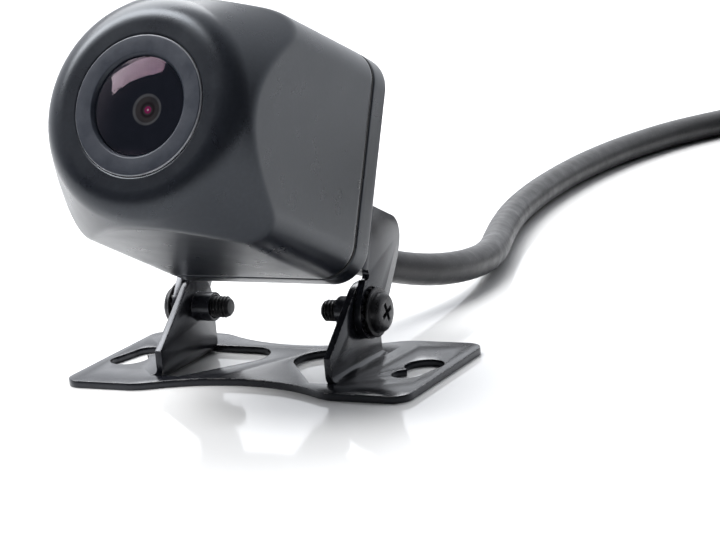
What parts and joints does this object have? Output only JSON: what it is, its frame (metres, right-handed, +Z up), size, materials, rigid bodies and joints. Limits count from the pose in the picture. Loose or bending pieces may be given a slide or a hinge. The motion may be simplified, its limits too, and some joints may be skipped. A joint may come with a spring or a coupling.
{
  "type": "backup camera",
  "caption": "Square metal backup camera with a domed lens on a tilting sheet-metal bracket with keyhole slots, with its round lead and screw-lock plug.",
  "frame": {"origin": "centre of the base plate's underside", "axes": "+Z up from the surface that the bracket is screwed to, -Y the way the lens looks, +X across the bracket along the pivot axis"},
  "size_m": [0.095, 0.2158, 0.0519],
  "materials": {
    "bracket_coat": "gloss black electrophoretic coat",
    "black_screws": "black zinc, semi-gloss",
    "housing_paint": "fine-textured satin black paint on die-cast metal",
    "seal_rubber": "matte",
    "trim_ring": "satin dark anodised with a bright outer edge",
    "front_glass": "coated, gloss",
    "inner_glass": "coated, gloss",
    "filter_glass": "gloss",
    "barrel_plastic": "matte black",
    "chip_package": "matte",
    "board_laminate": "solder mask, semi-gloss",
    "brass_parts": "plated",
    "plated_steel": "bright",
    "header_plastic": "natural nylon",
    "wire_insulation": "soft vinyl",
    "lead_jacket": "matte black vinyl jacket",
    "boot_rubber": "matte moulded",
    "plug_metal": "satin nickel plate",
    "insert_plastic": "matte"
  },
  "bodies": {
    "bracket": {"base_bracket": "bracket_coat", "pivot_screws": "black_screws", "lock_washers": "black_screws", "cable_lead": "lead_jacket", "cable_coil": "lead_jacket", "cable_tail": "lead_jacket", "plug_boot": "boot_rubber", "plug_shell": "plug_metal", "plug_insert": "insert_plastic", "plug_pins": "brass_parts"},
    "head": {"yoke": "bracket_coat", "yoke_screws": "black_screws", "front_housing": "housing_paint", "rear_cover": "housing_paint", "cover_gasket": "seal_rubber", "cover_screws": "black_screws", "cable_gland": "boot_rubber", "trim_ring": "trim_ring", "trim_seal": "seal_rubber", "front_lens": "front_glass", "lens_barrel": "barrel_plastic", "second_lens": "inner_glass", "aperture_stop": "barrel_plastic", "third_lens": "inner_glass", "lens_spacer": "barrel_plastic", "rear_lens": "inner_glass", "lens_retainer": "barrel_plastic", "sensor_holder": "barrel_plastic", "ir_filter": "filter_glass", "image_sensor": "chip_package", "sensor_board": "board_laminate", "board_spacers": "brass_parts", "processor_board": "board_laminate", "processor_chip": "chip_package", "board_screws": "plated_steel", "lead_header": "header_plastic", "inner_leads": "wire_insulation"},
    "collar": {"plug_collar": "plug_metal"}
  },
  "joints": [
    {"name": "head_tilt", "type": "hinge", "parent": "bracket", "child": "head", "pos_m": [0, 0.0024, 0.0076], "axis": [1, 0, 0], "range_deg": [-20, 30], "deforming": ["cable_lead"]},
    {"name": "collar_turn", "type": "hinge", "parent": "bracket", "child": "collar", "pos_m": [0.062, 0.091, 0.007], "axis": [0, -1, 0], "continuous": true}
  ]
}
